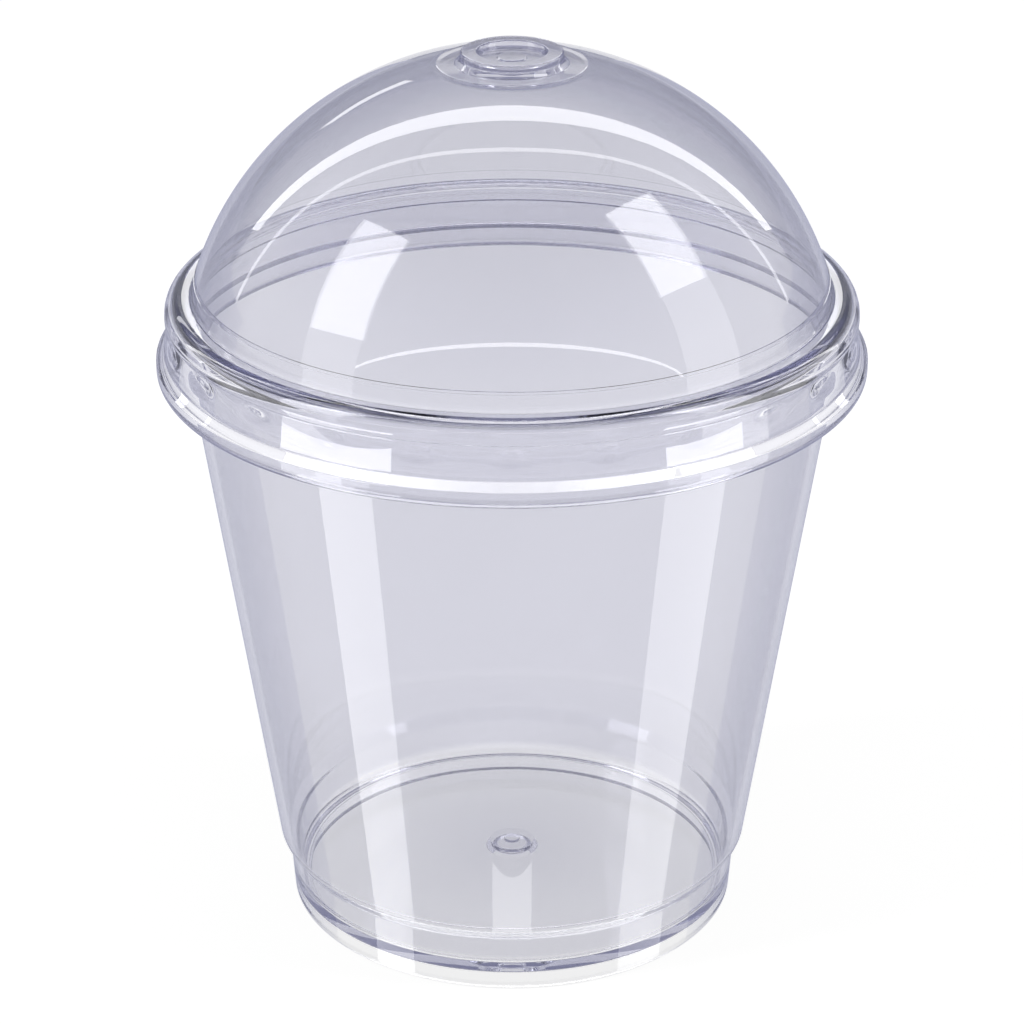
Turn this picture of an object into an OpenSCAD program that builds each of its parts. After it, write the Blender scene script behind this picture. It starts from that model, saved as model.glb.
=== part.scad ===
// Clear dessert cup with a domed lid that presses over its rim.
// Cup and lid are thin mouldings turned about Z, and the cup stands on Z = 0.

/* [Cup wall] */
// Height of the cup to the top of its rim
cup_h = 84.3; // [60:0.1:120]
// Outer diameter of the wall, measured at the rim
mouth_d = 84.5; // [74:0.1:110]
// Outer diameter of the wall, measured at the shoulder above the foot
shoulder_d = 62.2; // [50:0.1:72]
// Height of the shoulder above the table
shoulder_z = 9.5; // [9:0.1:20]
// Thickness of the wall
wall = 1.1; // [0.8:0.05:1.4]

/* [Cup rim] */
// How far the bead round the rim stands out from the wall
bead_out = 0.15; // [0.1:0.05:0.8]
// Height of that bead
bead_h = 2.3; // [1.2:0.1:3]

/* [Foot] */
// Step inward from the shoulder to the foot
foot_step = 1.2; // [0.7:0.1:2.5]
// Height of the foot, up to where the step begins
foot_h = 7.9; // [6.5:0.1:8.3]
// Draft of the foot: how much its radius shrinks down to the table
foot_draft = 0.6; // [0.1:0.05:1]
// Width of the ring that the cup stands on
foot_ring = 1.5; // [1.3:0.05:2.5]

/* [Floor] */
// Height of the floor's underside above the table, at its edge
floor_gap = 2.2; // [1.5:0.1:3.5]
// Thickness of the floor
floor_t = 1.2; // [0.8:0.05:1.8]
// Rise of the floor from its edge to its middle
floor_rise = 1.4; // [0.2:0.1:2]
// Diameter of the raised gate mark in the middle of the floor
gate_d = 6.4; // [5:0.1:9]
// Height of the gate mark, and depth of the well below it
gate_h = 0.9; // [0.4:0.1:1.2]
// Diameter of the small nib on the gate mark
nib_d = 2.2; // [1:0.1:3.4]
// Height of that nib
nib_h = 0.25; // [0.15:0.05:0.4]

/* [Lid flange] */
// Thickness of the lid's wall
lid_t = 0.9; // [0.6:0.05:1.2]
// Clearance between the rim's bead and the lid's upright band
skirt_gap = 0.45; // [0.3:0.05:0.8]
// Width of the flat ring that rests on the rim
ring_w = 3.35; // [2.8:0.05:5]
// Height of the upright band, from the ring's top face to the waist
band_h = 2.85; // [2.7:0.05:5]
// Depth of the groove at the waist
waist_cut = 0.2; // [0.1:0.05:0.4]
// Height of the skirt, from the waist to the hem
skirt_h = 4.2; // [3:0.1:8]
// How far the skirt flares outward
skirt_flare = 0.25; // [0.1:0.05:1.5]
// Height of the thick hem at the skirt's edge
hem_h = 3.4; // [2.8:0.1:6]
// How far the hem stands out from the skirt
hem_out = 1; // [0.5:0.05:2]
// Drop of the hem's sloping shoulder
hem_slope = 1.05; // [0.3:0.05:1.6]
// Width of the lead-in chamfer inside the hem's mouth
hem_lead = 0.5; // [0.1:0.05:0.6]

/* [Snap lugs] */
// Number of lugs round the inside of the skirt
lug_count = 24; // [8:1:36]
// Width of a lug round the skirt
lug_w = 4; // [2:0.1:6]
// Height of a lug
lug_h = 2; // [1:0.1:3]
// Drop from the underside of the rim's bead to the top of a lug
lug_drop = 0.3; // [0.2:0.05:0.8]
// Clearance between a lug and the rim's bead
lug_gap = 0.2; // [0.15:0.05:0.3]

/* [Dome] */
// Height of the upright collar between the ring and the dome
collar_h = 2.1; // [0.6:0.1:4]
// Draft of the collar: how much its radius shrinks up to the dome
collar_draft = 0.45; // [0.1:0.05:0.8]
// Ledge where the dome stands back from the collar
dome_ledge = 0.1; // [0.05:0.05:0.5]
// Height of the dome's full arc above the collar
dome_h = 28.4; // [20:0.1:36]
// Diameter of the flat seat at the crown
seat_d = 18.6; // [16.5:0.1:26]

/* [Button] */
// Diameter of the ring-shaped button on the seat
button_d = 12.8; // [11:0.1:14]
// Height of the button above the seat
button_h = 1.5; // [1.2:0.05:3]
// How far the button's base spreads beyond its side
button_spread = 0.65; // [0.2:0.05:1]
// Diameter of the recess in the button's top
recess_d = 8.6; // [5:0.1:9.6]
// Depth of that recess
recess_h = 0.9; // [0.3:0.05:1.2]
// Diameter of the lid's gate mark, in the middle of the recess
mark_d = 3.8; // [2:0.1:4]
// Height of that mark
mark_h = 0.2; // [0.15:0.05:0.25]

/* [Edges] */
// Radius of the foot's outer bottom edge
foot_edge = 0.7; // [0.3:0.05:0.9]
// Radius of the bends at the shoulder
shoulder_bend = 0.7; // [0.2:0.05:1]
// Radius of the fillet between the wall and the floor
floor_fillet = 1.3; // [0.5:0.05:1.8]
// Radius of the rim's outer top edge
rim_round = 0.6; // [0.3:0.05:0.7]
// Radius of the ring's rounded outer edge
ring_round = 2.2; // [0.6:0.05:2.3]
// Radius inside that edge, above the rim
hollow_round = 0.8; // [0.2:0.05:0.9]
// Radius of the hem's rounded bottom edge
hem_round = 1.25; // [0.3:0.05:1.35]
// Radius of the small moulded edges
edge = 0.25; // [0.1:0.05:0.3]

/* [Hidden] */
$fn = 144;
clear_plastic = [0.80, 0.82, 0.87, 0.5];
arc_steps = 6; // straight steps along each small rounded edge

// Cup: outer wall line from the table to the rim, and the inner line one wall thickness inside it
mouth_r = mouth_d / 2;
shoulder_r = shoulder_d / 2;
foot_top_r = shoulder_r - foot_step;
foot_r = foot_top_r - foot_draft;
outer_line = [[foot_r, 0], [foot_top_r, foot_h], [shoulder_r, shoulder_z], [mouth_r, cup_h]];
inner_line = inset(outer_line, wall);
bead_r = mouth_r + bead_out;
bead_z = cup_h - bead_h;
floor_z = floor_gap + floor_t;
floor_mid = floor_z + floor_rise;
gate_r = gate_d / 2;
gate_top = floor_mid + gate_h;
well_r = gate_r - gate_h;
well_z = gate_top - floor_t;
nib_r = nib_d / 2;

// Lid flange: each radius builds outward from the rim's bead, each height up or down from the rim
band_in = bead_r + skirt_gap;
band_r = band_in + lid_t;
flare_r = band_r + skirt_flare;
hem_r = flare_r + hem_out;
hem_in = flare_r - lid_t;
ring_z = cup_h + lid_t;
waist_z = ring_z - band_h;
hem_top = waist_z - skirt_h;
hem_z = hem_top - hem_h;
lug_r = bead_r + lug_gap;
lug_top = bead_z - lug_drop;
lug_foot = lug_top - lug_h;
lug_face = lug_h * 3 / 4; // upright part of a lug's face, above its sloping lead-in
lug_arc = 2 * asin(lug_w / 2 / lug_r);

// Dome: a ball through the collar's top edge, cut flat at the crown
collar_r = band_r - ring_w;
collar_z = ring_z + collar_h;
collar_top_r = collar_r - collar_draft;
dome_foot = collar_top_r - dome_ledge;
dome_r = (dome_foot * dome_foot + dome_h * dome_h) / (2 * dome_h);
dome_z = collar_z + dome_h - dome_r;
seat_z = dome_z + sqrt(dome_r * dome_r - seat_d * seat_d / 4);
button_r = button_d / 2;
button_top = seat_z + button_h;
recess_r = recess_d / 2;
recess_z = button_top - recess_h;
mark_r = mark_d / 2;

function unit(v) = v / norm(v);

// Radius at height z on the straight line from a to b
function at_height(a, b, z) = a[0] + (b[0] - a[0]) * (z - a[1]) / (b[1] - a[1]);

// Left-hand normal of the line from a to b
function left_of(a, b) = let (d = unit(b - a)) [-d[1], d[0]];

// Open line moved t to its left, with its corners mitred
function inset(line, t) = [
    for (i = [0 : len(line) - 1])
        let (
            before = left_of(line[max(i - 1, 0)], line[max(i, 1)]),
            after = left_of(line[min(i, len(line) - 2)], line[min(i + 1, len(line) - 1)]),
            mitre = unit(before + after)
        )
        line[i] + mitre * t / (mitre * before)
];

// Points of the arc that rounds corner p, between its neighbours a and b, to radius r
function corner_arc(a, p, b, r) =
    let (
        u = unit(a - p),
        v = unit(b - p),
        half = acos(u * v) / 2,
        centre = p + unit(u + v) * r / sin(half),
        from = p + u * r / tan(half) - centre,
        turn = (u[0] * v[1] - u[1] * v[0] > 0 ? -1 : 1) * (180 - 2 * half)
    )
    [
        for (i = [0 : arc_steps])
            let (s = turn * i / arc_steps)
            centre + [from[0] * cos(s) - from[1] * sin(s), from[0] * sin(s) + from[1] * cos(s)]
    ];

// Outline through corners [radius, height, rounding], where a rounding of 0 stays sharp
function rounded(corners) = [
    for (i = [0 : len(corners) - 1])
        let (
            n = len(corners),
            a = corners[(i + n - 1) % n],
            p = corners[i],
            b = corners[(i + 1) % n]
        )
        each p[2] > 0
            ? corner_arc([a[0], a[1]], [p[0], p[1]], [b[0], b[1]], p[2])
            : [[p[0], p[1]]]
];

// Half section of the cup: up the outside, over the rim, down the inside and across the floor
cup_corners = [
    [foot_r, 0, foot_edge],
    [foot_top_r, foot_h, shoulder_bend],
    [shoulder_r, shoulder_z, shoulder_bend],
    [at_height(outer_line[2], outer_line[3], bead_z), bead_z, edge],
    [bead_r, bead_z, edge],
    [bead_r, cup_h, rim_round],
    [at_height(inner_line[2], inner_line[3], cup_h), cup_h, edge],
    [inner_line[2][0], inner_line[2][1], shoulder_bend],
    [inner_line[1][0], inner_line[1][1], shoulder_bend],
    [at_height(inner_line[0], inner_line[1], floor_z), floor_z, floor_fillet],
    [gate_r + edge, floor_mid, edge / 2],
    [gate_r - edge, gate_top, edge / 2],
    [nib_r, gate_top, edge / 4],
    [nib_r - edge / 2, gate_top + nib_h, edge / 4],
    [0, gate_top + nib_h, 0],
    [0, well_z, 0],
    [well_r - edge, well_z, edge / 2],
    [well_r + edge, floor_mid - floor_t, edge / 2],
    [at_height(outer_line[0], outer_line[1], floor_gap) - foot_ring, floor_gap, edge],
    [foot_r - foot_ring, 0, edge]
];

// Solid outline of the lid's flange, from the hem up to the collar
flange_corners = [
    [0, hem_z, 0],
    [hem_r, hem_z, hem_round],
    [hem_r, hem_top - hem_slope, edge],
    [flare_r, hem_top, edge],
    [band_r - waist_cut, waist_z, edge / 2],
    [band_r, waist_z + waist_cut, edge / 2],
    [band_r, ring_z, ring_round],
    [collar_r, ring_z, edge],
    [collar_top_r, collar_z, 0],
    [0, collar_z, 0]
];

// Hollow inside the flange, open at the bottom and closed by the ring that rests on the rim
hollow_corners = [
    [0, hem_z - lid_t, 0],
    [hem_in + hem_lead, hem_z - lid_t, 0],
    [hem_in + hem_lead, hem_z, 0],
    [hem_in, hem_z + 2 * hem_lead, 0],
    [hem_in, hem_top, 0],
    [band_in, waist_z, 0],
    [band_in, cup_h, hollow_round],
    [collar_r - lid_t, cup_h, edge],
    [collar_top_r - lid_t, collar_z, 0],
    [0, collar_z, 0]
];

// Button on the seat: a spread base, a rounded top edge and a recess with the gate mark in its middle
button_corners = [
    [0, seat_z - lid_t / 2, 0],
    [button_r + button_spread, seat_z - lid_t / 2, 0],
    [button_r + button_spread, seat_z, 0],
    [button_r, seat_z + button_spread, edge],
    [button_r, button_top, edge],
    [recess_r, button_top, edge],
    [recess_r - edge, recess_z, edge / 2],
    [mark_r, recess_z, edge / 4],
    [mark_r - edge / 2, recess_z + mark_h, edge / 4],
    [0, recess_z + mark_h, 0]
];

// Section of one lug, rooted halfway into the skirt
lug_corners = [
    [lug_r, lug_top],
    [lug_r, lug_top - lug_face],
    [at_height([band_in, waist_z], [hem_in, hem_top], lug_foot) + lid_t / 2, lug_foot],
    [band_in + lid_t / 2, lug_top]
];

// Half disc of the dome's ball between two heights
module dome_slice(r, low, high) {
    intersection() {
        translate([0, dome_z]) circle(r);
        translate([0, low]) square([dome_r, high - low]);
    }
}

module lid_section() {
    difference() {
        union() {
            polygon(rounded(flange_corners));
            dome_slice(dome_r, collar_z, seat_z);
            polygon(rounded(button_corners));
        }
        polygon(rounded(hollow_corners));
        dome_slice(dome_r - lid_t, collar_z, seat_z - lid_t);
    }
}

module lugs() {
    for (i = [0 : lug_count - 1])
        rotate(i * 360 / lug_count - lug_arc / 2)
            rotate_extrude(angle = lug_arc)
                polygon(lug_corners);
}

module cup() {
    color(clear_plastic) rotate_extrude() polygon(rounded(cup_corners));
}

module dome_lid() {
    color(clear_plastic) {
        rotate_extrude() lid_section();
        lugs();
    }
}

cup();
dome_lid();
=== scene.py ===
import math

import bpy
import numpy as np
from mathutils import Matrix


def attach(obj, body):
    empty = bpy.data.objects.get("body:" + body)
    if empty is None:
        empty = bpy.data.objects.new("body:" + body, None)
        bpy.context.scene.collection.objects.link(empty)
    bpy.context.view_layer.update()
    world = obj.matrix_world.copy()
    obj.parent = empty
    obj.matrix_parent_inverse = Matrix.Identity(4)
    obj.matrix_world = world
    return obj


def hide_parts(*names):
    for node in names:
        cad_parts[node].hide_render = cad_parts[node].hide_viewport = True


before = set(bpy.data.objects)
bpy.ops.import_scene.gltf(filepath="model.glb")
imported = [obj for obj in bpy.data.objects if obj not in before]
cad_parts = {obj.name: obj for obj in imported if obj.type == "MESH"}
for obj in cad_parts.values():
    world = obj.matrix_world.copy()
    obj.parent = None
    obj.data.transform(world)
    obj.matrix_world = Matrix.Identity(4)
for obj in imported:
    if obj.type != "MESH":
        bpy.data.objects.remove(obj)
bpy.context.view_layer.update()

scene = bpy.context.scene
scene.view_settings.view_transform = "Standard"
mm = 0.001               # sizes below are in millimetres, meshes in metres


# sRGB hex to linear colour
def hexColour(text):
    srgb = np.array([int(text[i:i + 2], 16) for i in (1, 3, 5)]) / 255
    linear = np.where(srgb <= 0.04045, srgb / 12.92, ((srgb + 0.055) / 1.055) ** 2.4)
    return (*linear.tolist(), 1.0)


# Adds a node: settings are its own properties, inputs are values or sockets to link, by input name or number.
# A Mix node for colours has its factor at input 0, its colours at 6 and 7 and its result at output 2.
def addNode(tree, kind, inputs=None, **settings):
    node = tree.nodes.new(kind)
    for key, value in settings.items():
        setattr(node, key, value)
    for key, value in (inputs or {}).items():
        if isinstance(value, bpy.types.NodeSocket):
            tree.links.new(value, node.inputs[key])
        else:
            node.inputs[key].default_value = value
    return node


def newMaterial(name):
    material = bpy.data.materials.new(name)
    material.use_nodes = True
    material.node_tree.nodes.clear()
    return material, material.node_tree


outlineGrid = {
    "arcStep": 12.0,     # degrees between points on a rounded edge
    "arcFewest": 3,      # steps on the smallest one
    "support": 0.1,      # mm from an edge to the point that keeps the flat beside it flat
    "supportShare": 0.25,        # no such point where it would be further along a run than this
    "longest": 4.0,      # mm between points on a straight run
    "sharpFrom": 50.0,   # degrees between two faces that meet in a sharp edge
}


def unit(v):
    return v / np.linalg.norm(v)


# Radius at height z on the straight line from a to b
def atHeight(a, b, z):
    return a[0] + (b[0] - a[0]) * (z - a[1]) / (b[1] - a[1])


# Line moved t to its left: each corner goes along its mitre by t over the cosine to either side's normal
def inset(line, t):
    line = np.asarray(line, float)
    run = np.diff(line, axis=0)
    normal = np.stack([-run[:, 1], run[:, 0]], 1) / np.linalg.norm(run, axis=1)[:, None]
    before = np.concatenate([normal[:1], normal])
    after = np.concatenate([normal, normal[-1:]])
    mitre = (before + after) / np.linalg.norm(before + after, axis=1)[:, None]
    return line + mitre * t / np.sum(mitre * before, axis=1)[:, None]


# Arc that rounds corner p between a and b: centre on the bisector at radius / sin(half angle)
def cornerArc(a, p, b, radius):
    u, v = unit(a - p), unit(b - p)
    half = math.acos(np.clip(u @ v, -1, 1)) / 2
    centre = p + unit(u + v) * radius / math.sin(half)
    start = p + u * radius / math.tan(half) - centre
    turn = math.copysign(math.pi - 2 * half, u[1] * v[0] - u[0] * v[1])
    steps = math.ceil(math.degrees(abs(turn)) / outlineGrid["arcStep"])
    s = np.linspace(0, turn, max(outlineGrid["arcFewest"], steps) + 1)
    return centre + np.stack([start[0] * np.cos(s) - start[1] * np.sin(s),
                              start[0] * np.sin(s) + start[1] * np.cos(s)], 1)


# Outline through corners (radius, height, rounding): arcs at the rounded ones, straight runs between them
def roundedOutline(corners):
    flat = np.array([c[:2] for c in corners], float)
    arcs = [cornerArc(flat[i - 1], flat[i], flat[i + 1], c[2]) if c[2] else flat[i:i + 1]
            for i, c in enumerate(corners)]
    line = [arcs[0]]
    for a, b in zip(arcs, arcs[1:]):
        length = np.linalg.norm(b[0] - a[-1])
        t = np.linspace(0, 1, math.ceil(length / outlineGrid["longest"]) + 1)[1:-1]
        if outlineGrid["support"] < length * outlineGrid["supportShare"]:
            edge = outlineGrid["support"] / length
            t = np.concatenate([[edge], t, [1 - edge]])
        line += [a[-1] + (b[0] - a[-1]) * t[:, None], b]
    return np.concatenate(line)


def columnAngles(count):
    return np.arange(count) * 2 * np.pi / count


# Surface of revolution: x = r cos a, y = r sin a for every outline point and angle, with a pole at each end.
# The outline starts and ends on the axis and climbs on the outside, so faces point outwards.
# inward is how far each row and column is pulled towards the axis.
def turned(name, outline, angles, inward=0.0):
    radius = (outline[:, :1] - inward) * np.ones(len(angles)) * mm
    height = outline[:, 1:] * np.ones(len(angles)) * mm
    grid = np.stack([radius * np.cos(angles), radius * np.sin(angles), height], -1)[1:-1]
    poles = np.array([[0, 0, height[0, 0]], [0, 0, height[-1, 0]]])
    a = np.arange(grid.shape[0] * grid.shape[1]).reshape(grid.shape[:2])
    b = np.roll(a, -1, 1)
    low, high = np.full(len(angles), a.size), np.full(len(angles), a.size + 1)
    quads = np.stack([a[:-1], b[:-1], b[1:], a[1:]], -1).reshape(-1, 4)
    fans = np.concatenate([np.stack([low, b[0], a[0]], 1), np.stack([a[-1], b[-1], high], 1)])
    mesh = bpy.data.meshes.new(name)
    mesh.from_pydata(np.concatenate([grid.reshape(-1, 3), poles]), [], quads.tolist() + fans.tolist())
    mesh.polygons.foreach_set("use_smooth", np.ones(len(mesh.polygons), bool))
    mesh.set_sharp_from_angle(angle=math.radians(outlineGrid["sharpFrom"]))
    mesh.update()
    piece = bpy.data.objects.new(name, mesh)
    scene.collection.objects.link(piece)
    return piece


# Clear polystyrene, injection moulded against polished steel: water-clear with a faint grey cast, a hard gloss
# and soft clouds of cast where the melt flowed. Where the sight line runs along a wall the colour turns navy:
# partly the longer way through the tint, partly painted shade for the dark outlines.
def clearPolystyrene(name, look):
    material, tree = newMaterial(name)
    place = addNode(tree, "ShaderNodeTexCoord").outputs["Object"]
    cloud = addNode(tree, "ShaderNodeTexNoise", {
        "Vector": place, "Scale": 1 / (look["cloudSize"] * mm), "Detail": look["cloudDetail"]})
    height = addNode(tree, "ShaderNodeSeparateXYZ", {0: place}).outputs["Z"]
    # Below thickTo the thick colours take over. On the cup that white is partly painted light that lifts its
    # floor over the object's shadow, and partly fewer layers of tint.
    above = addNode(tree, "ShaderNodeMapRange", {
        "Value": height, "From Min": look["thickTo"] * mm, "From Max": (look["thickTo"] + look["fade"]) * mm})
    # Towards grazing the colour turns navy: partly the longer way through the tint, partly painted shade for
    # the dark outlines.
    facing = addNode(tree, "ShaderNodeLayerWeight").outputs["Facing"]
    wallShadeAmount = addNode(tree, "ShaderNodeMapRange", {
        "Value": facing, "From Min": look["outlineShadeFrom"], "From Max": 1.0, "To Max": look["outlineShadeShare"]})
    thickShadeAmount = addNode(tree, "ShaderNodeMapRange", {
        "Value": facing, "From Min": look["thickOutlineShadeFrom"], "From Max": 1.0, "To Max": look["thickOutlineShadeShare"]})
    wall = addNode(tree, "ShaderNodeMix", {
        0: cloud.outputs["Fac"], 6: hexColour(look["wallLight"]), 7: hexColour(look["wallDeep"])},
        data_type="RGBA")
    thin = addNode(tree, "ShaderNodeMix", {
        0: wallShadeAmount.outputs["Result"], 6: wall.outputs[2], 7: hexColour(look["edge"])}, data_type="RGBA")
    thick = addNode(tree, "ShaderNodeMix", {
        0: thickShadeAmount.outputs["Result"], 6: hexColour(look["thick"]), 7: hexColour(look["thickOutlineShade"])},
        data_type="RGBA")
    tint = addNode(tree, "ShaderNodeMix", {
        0: above.outputs["Result"], 6: thick.outputs[2], 7: thin.outputs[2]}, data_type="RGBA")
    plastic = addNode(tree, "ShaderNodeBsdfPrincipled", {
        "Base Color": tint.outputs[2], "Roughness": look["roughness"], "IOR": look["ior"],
        "Transmission Weight": 1.0})
    depth = addNode(tree, "ShaderNodeVolumeAbsorption", {
        "Color": hexColour(look["depthColour"]), "Density": look["depthDensity"]})
    addNode(tree, "ShaderNodeOutputMaterial", {"Surface": plastic.outputs[0], "Volume": depth.outputs[0]})
    return material


cupLook = {
    "wallLight": "#e6e6ec",      # colour of one wall seen square on
    "wallDeep": "#e3e3e9",       # the same in a cloud
    "cloudSize": 22.0,           # mm
    "cloudDetail": 1.0,
    # Painted shade: the edge colour darkens a wall to navy towards grazing for the dark outlines; only part of
    # it is the longer way through the tint.
    "edge": "#5e6188",           # colour of a wall seen along its surface, partly painted shade
    "outlineShadeFrom": 0.42,            # where that begins, from 0 square on to 1 along the surface
    "outlineShadeShare": 0.4,            # how far it goes
    "thick": "#ffffff",          # colour below thickTo: partly painted light on the cup's floor
    "thickTo": 4.0,              # mm up the piece
    "fade": 1.0,                 # mm
    "thickOutlineShade": "#5e6188",      # painted outline shade of the thick parts: colour, where it begins, how far it goes
    "thickOutlineShadeFrom": 0.5,
    "thickOutlineShadeShare": 0.9,
    "depthColour": "#8688b4",    # what is left after a long way through the plastic
    "depthDensity": 18.0,        # per metre
    "ior": 1.59,                 # polystyrene
    "roughness": 0.0,            # polished
}
# The lid's flange outlines turn a deeper navy: painted shade.
lidLook = dict(cupLook, wallLight="#e9e9ee", wallDeep="#e6e6ec", outlineShadeFrom=0.4, outlineShadeShare=1.0,
               thick="#f5f5f9", thickTo=85.4, fade=0.3, thickOutlineShade="#484d84", thickOutlineShadeFrom=0.45)

cup = {
    "height": 84.3, "mouth": 84.5, "shoulder": 62.2, "shoulderHeight": 9.5, "wall": 1.1,
    "beadOut": 0.15, "beadHeight": 2.3,
    "footStep": 1.2, "footHeight": 7.9, "footDraft": 0.6, "footRing": 1.5,
    "floorGap": 2.2, "floorThickness": 1.2, "floorRise": 1.4, "gate": 6.4, "gateHeight": 0.9,
    "nib": 2.2, "nibHeight": 0.25,
    "rimGap": 0.03,              # mm of air under the lid's ring: faces that coincide would show black lines
    "footEdge": 0.7, "shoulderBend": 0.7, "floorFillet": 1.3, "rimRound": 0.6, "edge": 0.25,
    "columns": 288,
}


# Half section of the cup, from under the gate mark out to the foot, up the wall, over the rim and down inside
def cupOutline(c):
    shoulderRadius = c["shoulder"] / 2
    footTop = shoulderRadius - c["footStep"]
    foot = footTop - c["footDraft"]
    outer = [[foot, 0], [footTop, c["footHeight"]],
             [shoulderRadius, c["shoulderHeight"]], [c["mouth"] / 2, c["height"]]]
    inner = inset(outer, c["wall"])
    bead, beadFoot = c["mouth"] / 2 + c["beadOut"], c["height"] - c["beadHeight"]
    rimTop = c["height"] - c["rimGap"]
    floorTop = c["floorGap"] + c["floorThickness"]
    floorMiddle = floorTop + c["floorRise"]
    gate, edge = c["gate"] / 2, c["edge"]
    well, bossTop = gate - c["gateHeight"], floorMiddle + c["gateHeight"]
    return roundedOutline([
        (0, bossTop - c["floorThickness"], 0),
        (well - edge, bossTop - c["floorThickness"], edge / 2),
        (well + edge, floorMiddle - c["floorThickness"], edge / 2),
        (atHeight(outer[0], outer[1], c["floorGap"]) - c["footRing"], c["floorGap"], edge),
        (foot - c["footRing"], 0, edge),
        (foot, 0, c["footEdge"]),
        (footTop, c["footHeight"], c["shoulderBend"]),
        (shoulderRadius, c["shoulderHeight"], c["shoulderBend"]),
        (atHeight(outer[2], outer[3], beadFoot), beadFoot, edge / 2),
        (bead, beadFoot, edge / 4),
        (bead, rimTop, c["rimRound"]),
        (atHeight(inner[2], inner[3], rimTop), rimTop, edge),
        (inner[2][0], inner[2][1], c["shoulderBend"]),
        (inner[1][0], inner[1][1], c["shoulderBend"]),
        (atHeight(inner[0], inner[1], floorTop), floorTop, c["floorFillet"]),
        (gate + edge, floorMiddle, edge / 2),
        (gate - edge, bossTop, edge / 2),
        (c["nib"] / 2, bossTop, edge / 4),
        (c["nib"] / 2 - edge / 2, bossTop + c["nibHeight"], edge / 4),
        (0, bossTop + c["nibHeight"], 0),
    ])


cupBody = turned("cupBody", cupOutline(cup), columnAngles(cup["columns"]))
cupBody.data.materials.append(clearPolystyrene("clearMouldedPolystyreneCup", cupLook))
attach(cupBody, "cup")
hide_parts("cup")
print("cup:", len(cupBody.data.polygons), "faces")

lid = {
    "wall": 0.9, "skirtGap": 0.45, "ringWidth": 3.35, "bandHeight": 2.85, "waistCut": 0.2,
    "skirtHeight": 4.2, "skirtFlare": 0.25,
    "hemHeight": 3.4, "hemOut": 1.0, "hemSlope": 1.05, "hemLead": 0.5,
    "collarHeight": 2.1, "collarDraft": 0.45, "domeLedge": 0.1, "domeHeight": 28.4, "seat": 18.6,
    "button": 12.8, "buttonHeight": 1.5, "buttonSpread": 0.65, "recess": 8.6, "recessDepth": 0.9,
    "mark": 3.8, "markHeight": 0.2,
    "ringRound": 2.2, "hollowRound": 0.8, "hemRound": 1.25, "edge": 0.25,
    "domeStep": 1.2,             # degrees between points on the dome
    "seatSupport": 0.02,         # mm below the seat to the point that keeps its edge crisp
    "columns": 312,
}
lugs = {
    "count": 24, "gap": 0.2,
    "width": 7.0, "height": 3.1, "drop": -0.25,      # of the whole swelling, twice as wide as half way up it
    "rows": 9,                   # rows of points up a lug
}


# Heights of the lugs' top and foot, below the rim's bead
def lugHeights(g, c):
    top = c["height"] - c["beadHeight"] - g["drop"]
    return top, top - g["height"]


# Half section of the lid, from under the crown down the inside, round the hem and up the outside to the button
def lidOutline(l, g, c):
    edge, wall = l["edge"], l["wall"]
    bandIn = c["mouth"] / 2 + c["beadOut"] + l["skirtGap"]
    band = bandIn + wall
    flare = band + l["skirtFlare"]
    hem, hemIn = flare + l["hemOut"], flare - wall
    ring = c["height"] + wall
    waist = ring - l["bandHeight"]
    hemTop = waist - l["skirtHeight"]
    hemFoot = hemTop - l["hemHeight"]
    collar, collarTop = band - l["ringWidth"], ring + l["collarHeight"]
    collarIn = collar - l["collarDraft"]
    domeFoot = collarIn - l["domeLedge"]
    ball = (domeFoot ** 2 + l["domeHeight"] ** 2) / (2 * l["domeHeight"])
    ballHeight = collarTop + l["domeHeight"] - ball
    seat = ballHeight + math.sqrt(ball ** 2 - (l["seat"] / 2) ** 2)
    button, recess, top = l["button"] / 2, l["recess"] / 2, seat + l["buttonHeight"]
    recessFloor = top - l["recessDepth"]
    lugTop, lugFoot = lugHeights(g, c)

    # Points of the dome between two heights: the ball of the given radius, from the angles of those heights
    def domeArc(radius, low, high):
        first, last = (math.asin((h - ballHeight) / radius) for h in (low, high))
        a = np.linspace(first, last, math.ceil(math.degrees(last - first) / l["domeStep"]) + 1)
        return np.stack([radius * np.cos(a), ballHeight + radius * np.sin(a)], 1)

    inside = domeArc(ball - wall, collarTop, seat - wall)[::-1]
    flange = roundedOutline([
        (collarIn - wall, collarTop, 0),
        (collar - wall, c["height"], edge),
        (bandIn, c["height"], l["hollowRound"]),
        (bandIn, waist, 0),
        *[(atHeight((bandIn, waist), (hemIn, hemTop), z), z, 0)
          for z in np.linspace(lugTop, lugFoot, g["rows"])],
        (hemIn, hemTop, 0),
        (hemIn, hemFoot + 2 * l["hemLead"], edge),
        (hemIn + l["hemLead"], hemFoot, edge / 4),
        (hem, hemFoot, l["hemRound"]),
        (hem, hemTop - l["hemSlope"], edge),
        (flare, hemTop, edge),
        (band - l["waistCut"], waist, edge / 2),
        (band, waist + l["waistCut"], edge / 2),
        (band, ring, l["ringRound"]),
        (collar, ring, edge),
        (collarIn, collarTop, 0),
    ])
    crown = roundedOutline([
        (l["seat"] / 2, seat, 0),
        (button + l["buttonSpread"], seat, edge / 2),
        (button, seat + l["buttonSpread"], edge),
        (button, top, edge),
        (recess, top, edge),
        (recess - edge, recessFloor, edge / 2),
        (l["mark"] / 2, recessFloor, edge / 4),
        (l["mark"] / 2 - edge / 2, recessFloor + l["markHeight"], edge / 4),
        (0, recessFloor + l["markHeight"], 0),
    ])
    outside = [domeArc(ball, collarTop, seat)[:-1], domeArc(ball, seat - l["seatSupport"], seat)[:1]]
    return np.concatenate([[[0, seat - wall]], inside, flange, *outside, crown])


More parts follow.
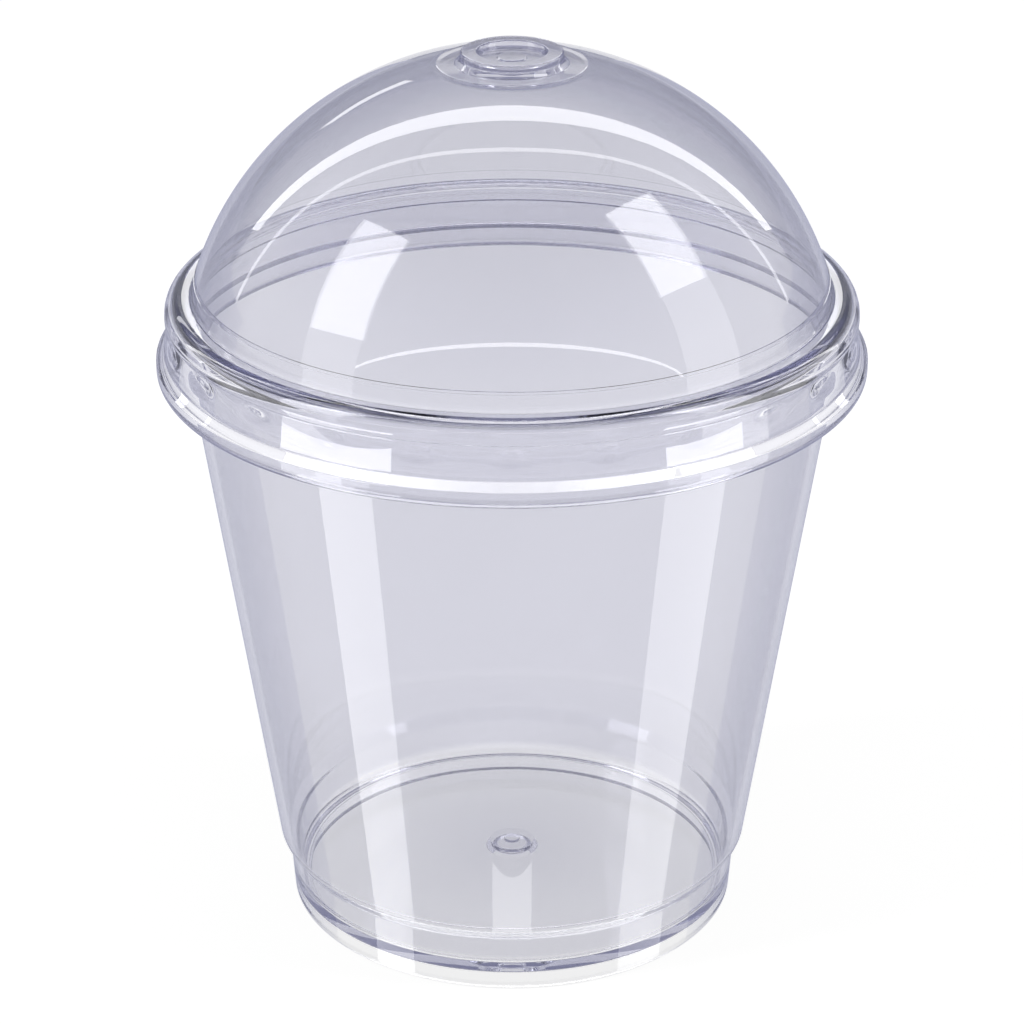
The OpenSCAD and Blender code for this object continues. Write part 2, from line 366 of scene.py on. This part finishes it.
# Pull of the lugs on the skirt's inner face: a smooth swelling, the cosine of the way across times that of
# the way up
def lugPull(section, angles, g, c):
    top, foot = lugHeights(g, c)
    reach = g["width"] / 2 / (c["mouth"] / 2)
    pitch = 2 * np.pi / g["count"]
    across = np.clip(np.abs((angles + pitch / 2) % pitch - pitch / 2) / reach, 0, 1)
    radius, z = section.T
    inside = np.arange(len(z)) < np.argmax(radius)
    up = np.clip(np.abs(2 * z - top - foot) / (top - foot), 0, 1)
    pull = (radius - (c["mouth"] / 2 + c["beadOut"] + g["gap"])) * inside
    return (pull * (1 + np.cos(np.pi * up)) / 2)[:, None] * (1 + np.cos(np.pi * across)) / 2


lidSection, lidAngles = lidOutline(lid, lugs, cup), columnAngles(lid["columns"])
domeLid = turned("domeLid", lidSection, lidAngles, lugPull(lidSection, lidAngles, lugs, cup))
domeLid.data.materials.append(clearPolystyrene("clearMouldedPolystyreneLid", lidLook))
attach(domeLid, "lid")
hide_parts("dome_lid")
print("lid:", len(domeLid.data.polygons), "faces")

studio = {
    "floorSize": 3.0,            # m to each side
    "floorGap": 0.02,            # mm of air under the foot
    "paper": "#d8d8d8",
    "floorGlow": 0.87,           # share of white that the floor shows by itself
    "ambient": 0.05,             # the room's light on matt surfaces
    "walls": "#ffffff",
    "ceiling": 0.5,              # how bright the room is overhead, against 1 for the walls
    "wallsTo": 35.0,             # degrees above the horizon where the walls begin to darken
    "ceilingFrom": 60.0,
    "shade": "#8a8cae",          # the room overhead as seen through the plastic's edges
    "shadeFrom": 15.0,           # degrees above the horizon where that begins
    "shadeTo": 35.0,
    "middle": (0, 0, 0.0735),    # m, the lights' bearings are taken from here, the middle of the dome's ball
    "bandPoints": 9,             # along a curved band of cloth
    "archPoints": 33,
}


# 1 for what the camera sees straight, in a reflection or through the plastic
def seenRay(tree):
    path = addNode(tree, "ShaderNodeLightPath").outputs
    both = addNode(tree, "ShaderNodeMath", {0: path["Is Camera Ray"], 1: path["Is Glossy Ray"]},
                   operation="MAXIMUM")
    seen = addNode(tree, "ShaderNodeMath", {0: both.outputs[0], 1: path["Is Transmission Ray"]},
                   operation="MAXIMUM")
    return seen.outputs[0], path


quad = [(0, 1, 2, 3)]


# Corners of a level rectangle, from its half width, half depth and height in metres
def levelCorners(w, d, z):
    return [(-w, -d, z), (w, -d, z), (w, d, z), (-w, d, z)]


# A flat or curved piece of the studio, from its corners and faces
def stagePiece(name, corners, faces, material):
    mesh = bpy.data.meshes.new(name)
    mesh.from_pydata(corners, [], faces)
    mesh.materials.append(material)
    piece = bpy.data.objects.new(name, mesh)
    scene.collection.objects.link(piece)
    return piece


# Matt white paper: a pale floor that shows white, less the object's shadow
def paperFloor():
    material, tree = newMaterial("mattWhitePaper")
    seen, _ = seenRay(tree)
    glow = addNode(tree, "ShaderNodeMath", {0: seen, 1: studio["floorGlow"]}, operation="MULTIPLY")
    paper = addNode(tree, "ShaderNodeBsdfDiffuse", {"Color": hexColour(studio["paper"])})
    light = addNode(tree, "ShaderNodeEmission", {"Strength": glow.outputs[0]})
    both = addNode(tree, "ShaderNodeAddShader", {0: paper.outputs[0], 1: light.outputs[0]})
    addNode(tree, "ShaderNodeOutputMaterial", {"Surface": both.outputs[0]})
    half = studio["floorSize"]
    floor = stagePiece("floor", levelCorners(half, half, -studio["floorGap"] * mm), quad, material)
    floor.visible_glossy = False         # reflections see the white room and the lights' images below instead


# White room: white to the camera, white walls with a darker ceiling in reflections, dim on matt surfaces
def whiteRoom():
    world = bpy.data.worlds.new("whiteRoom")
    scene.world = world
    world.use_nodes = True
    world.cycles.sampling_method = "NONE"
    tree = world.node_tree
    tree.nodes.clear()
    seen, path = seenRay(tree)
    way = addNode(tree, "ShaderNodeTexCoord").outputs["Generated"]
    up = addNode(tree, "ShaderNodeSeparateXYZ", {0: way}).outputs["Z"]
    room = addNode(tree, "ShaderNodeMapRange", {
        "Value": up, "From Min": math.sin(math.radians(studio["wallsTo"])),
        "From Max": math.sin(math.radians(studio["ceilingFrom"])), "To Min": 1.0, "To Max": studio["ceiling"]})
    bright = addNode(tree, "ShaderNodeMath", {0: room.outputs[0], 1: path["Is Camera Ray"]},
                     operation="MAXIMUM")
    over = addNode(tree, "ShaderNodeMapRange", {
        "Value": up, "From Min": math.sin(math.radians(studio["shadeFrom"])),
        "From Max": math.sin(math.radians(studio["shadeTo"]))})
    through = addNode(tree, "ShaderNodeMath", {0: over.outputs[0], 1: path["Is Transmission Ray"]},
                      operation="MULTIPLY")
    colour = addNode(tree, "ShaderNodeMix", {
        0: through.outputs[0], 6: hexColour(studio["walls"]), 7: hexColour(studio["shade"])}, data_type="RGBA")
    shown = addNode(tree, "ShaderNodeBackground", {"Color": colour.outputs[2], "Strength": bright.outputs[0]})
    dim = addNode(tree, "ShaderNodeBackground", {"Strength": studio["ambient"]})
    either = addNode(tree, "ShaderNodeMixShader", {0: seen, 1: dim.outputs[0], 2: shown.outputs[0]})
    addNode(tree, "ShaderNodeOutputWorld", {"Surface": either.outputs[0]})


# Lit cloth, hidden from the camera. A reflector shows in reflections only and lights nothing.
def litCloth(name, corners, faces, radiance, colour="#ffffff", reflector=True):
    material, tree = newMaterial(name)
    light = addNode(tree, "ShaderNodeEmission", {"Color": hexColour(colour), "Strength": radiance})
    addNode(tree, "ShaderNodeOutputMaterial", {"Surface": light.outputs[0]})
    cloth = stagePiece(name, corners, faces, material)
    cloth.visible_camera = False
    if reflector:
        material.cycles.emission_sampling = "NONE"
        cloth.visible_diffuse = cloth.visible_transmission = cloth.visible_shadow = False


# Points at given bearings from the dome: azimuth 0 is the camera's side and grows to the right
def atBearing(bearings, distance):
    a, e = np.radians(np.array(bearings, float)).T
    way = np.stack([np.sin(a) * np.cos(e), -np.cos(a) * np.cos(e), np.sin(e)], 1)
    return (np.array(studio["middle"]) + way * distance).tolist()


# Faces between two rows of count points
def rowFaces(count):
    i = np.arange(count - 1)
    return np.stack([i, i + 1, i + 1 + count, i + count], 1).tolist()


# Band of lit cloth whose upper edge runs evenly from one bearing to the other, above a level lower edge
def bandLight(name, start, end, foot, distance, radiance):
    upper = np.linspace(start, end, studio["bandPoints"])
    lower = np.stack([upper[:, 0], np.full(len(upper), foot)], 1)
    litCloth(name, atBearing(np.concatenate([upper, lower]), distance), rowFaces(len(upper)), radiance)


# Arch of lit cloth in an upright plane behind the object, between two half ellipses given by half width and
# height, less cut degrees at either foot
def archLight(name, behind, inner, outer, cut, radiance, colour="#ffffff"):
    t = np.radians(np.linspace(cut, 180 - cut, studio["archPoints"]))
    rings = [np.stack([np.cos(t) * w, np.full(len(t), behind), np.sin(t) * h], 1) for w, h in (inner, outer)]
    corners = np.concatenate(rings) + np.array(studio["middle"])
    litCloth(name, corners.tolist(), rowFaces(len(t)), radiance, colour)


# Corners as (azimuth, elevation) in degrees, distance in m, radiance, and a colour where it isn't white
softboxes = {
    "softboxLeft": ([(-92, 48), (-64, 55), (-56, 23), (-78, 18)], 0.9, 4.0),
    "softboxRight": ([(104, 52), (74, 62), (64, 34), (87, 29)], 0.9, 4.0),
}
# Below the horizon: images of the lights, as a glossy table would show them
reflectors = {
    "clothLeft": ([(-78, 18), (-56, 23), (-54, -4), (-74, -4)], 0.9, 2.2),
    "clothRight": ([(87, 29), (64, 34), (60, -4), (82, -4)], 0.9, 2.4),
    "imageLeft": ([(-54, -12), (-76, -12), (-78, -52), (-54, -52)], 0.9, 3.5),
    "imageRight": ([(61, -12), (87, -12), (86, -52), (58, -52)], 0.9, 3.0),
    "cardLeft": ([(-108, 4), (-172, 4), (-172, -60), (-108, -60)], 1.0, 1.0, "#b9bbcd"),
    "cardRight": ([(108, 4), (172, 4), (172, -60), (108, -60)], 1.0, 1.0, "#b9bbcd"),
    "imageFront": ([(-10, -48), (10, -48), (13, -57), (-13, -57)], 0.9, 3.2),
    "backBoard": ([(172, 19), (188, 19), (188, 25), (172, 25)], 3.0, 3.5),
    "crownBoard": ([(174, 15), (186, 15), (186, 18.5), (174, 18.5)], 3.0, 0.9),
    "streakBehind": ([(-149, 19), (-150, 22), (-163, 28), (-163, 25)], 0.7, 3.0),
}
below = {"halfWidth": 0.32, "halfDepth": 0.3, "height": -0.5, "radiance": 4.0}
# Bearings of the upper edge's two ends, elevation of the lower edge, distance in m, radiance
bands = {
    "skirtLeft": ((-37, -11.1), (-76, -12.9), -19, 0.8, 7.0),
    "skirtRight": ((48, -11.6), (76, -12.9), -19, 0.8, 7.0),
}
# m behind the dome, inner and outer half width and height in m, degrees cut off, radiance, colour
arches = {
    "cardBehind": (4.0, (0.02, 0.02), (5.0, 6.0), 0, 1.0, "#9194a4"),
    "archBehind": (0.8, (1.0, 1.2), (1.14, 1.65), 12, 5.0),
    "archOver": (0.8, (1.58, 3.3), (1.68, 3.8), 0, 4.0),
    "archBefore": (-0.8, (1.83, 0.48), (1.87, 0.506), 0, 6.0),
}

paperFloor()
whiteRoom()
for name, (corners, distance, radiance) in softboxes.items():
    litCloth(name, atBearing(corners, distance), quad, radiance, reflector=False)
for name, (corners, distance, *light) in reflectors.items():
    litCloth(name, atBearing(corners, distance), quad, *light)
litCloth("imageBelow", levelCorners(below["halfWidth"], below["halfDepth"], below["height"]), quad,
         below["radiance"])
for name, values in bands.items():
    bandLight(name, *values)
for name, values in arches.items():
    archLight(name, *values)
print("stage: floor, room and lights")

view = {
    "distance": 463.8,           # mm from the aim point
    "elevation": 24.8,           # degrees
    "aimHeight": 54.0,           # mm
    "lens": 125.8,               # mm
    "sensor": 36.0,              # mm
    "nearest": 0.01,             # m, nothing closer is drawn
    "bounces": 96,               # enough for light that runs round in the clear flange
}
camera = bpy.data.objects.new("camera", bpy.data.cameras.new("camera"))
camera.data.sensor_width = view["sensor"]
camera.data.lens = view["lens"]
camera.data.clip_start = view["nearest"]
tilt = math.radians(view["elevation"])
camera.location = (0, -view["distance"] * mm * math.cos(tilt),
                   (view["aimHeight"] + view["distance"] * math.sin(tilt)) * mm)
camera.rotation_euler = (math.pi / 2 - tilt, 0, 0)
scene.collection.objects.link(camera)
scene.camera = camera
scene.cycles.max_bounces = view["bounces"]
scene.cycles.transmission_bounces = view["bounces"]
scene.cycles.glossy_bounces = view["bounces"]
scene.cycles.caustics_reflective = False
scene.cycles.caustics_refractive = False
print("camera set")
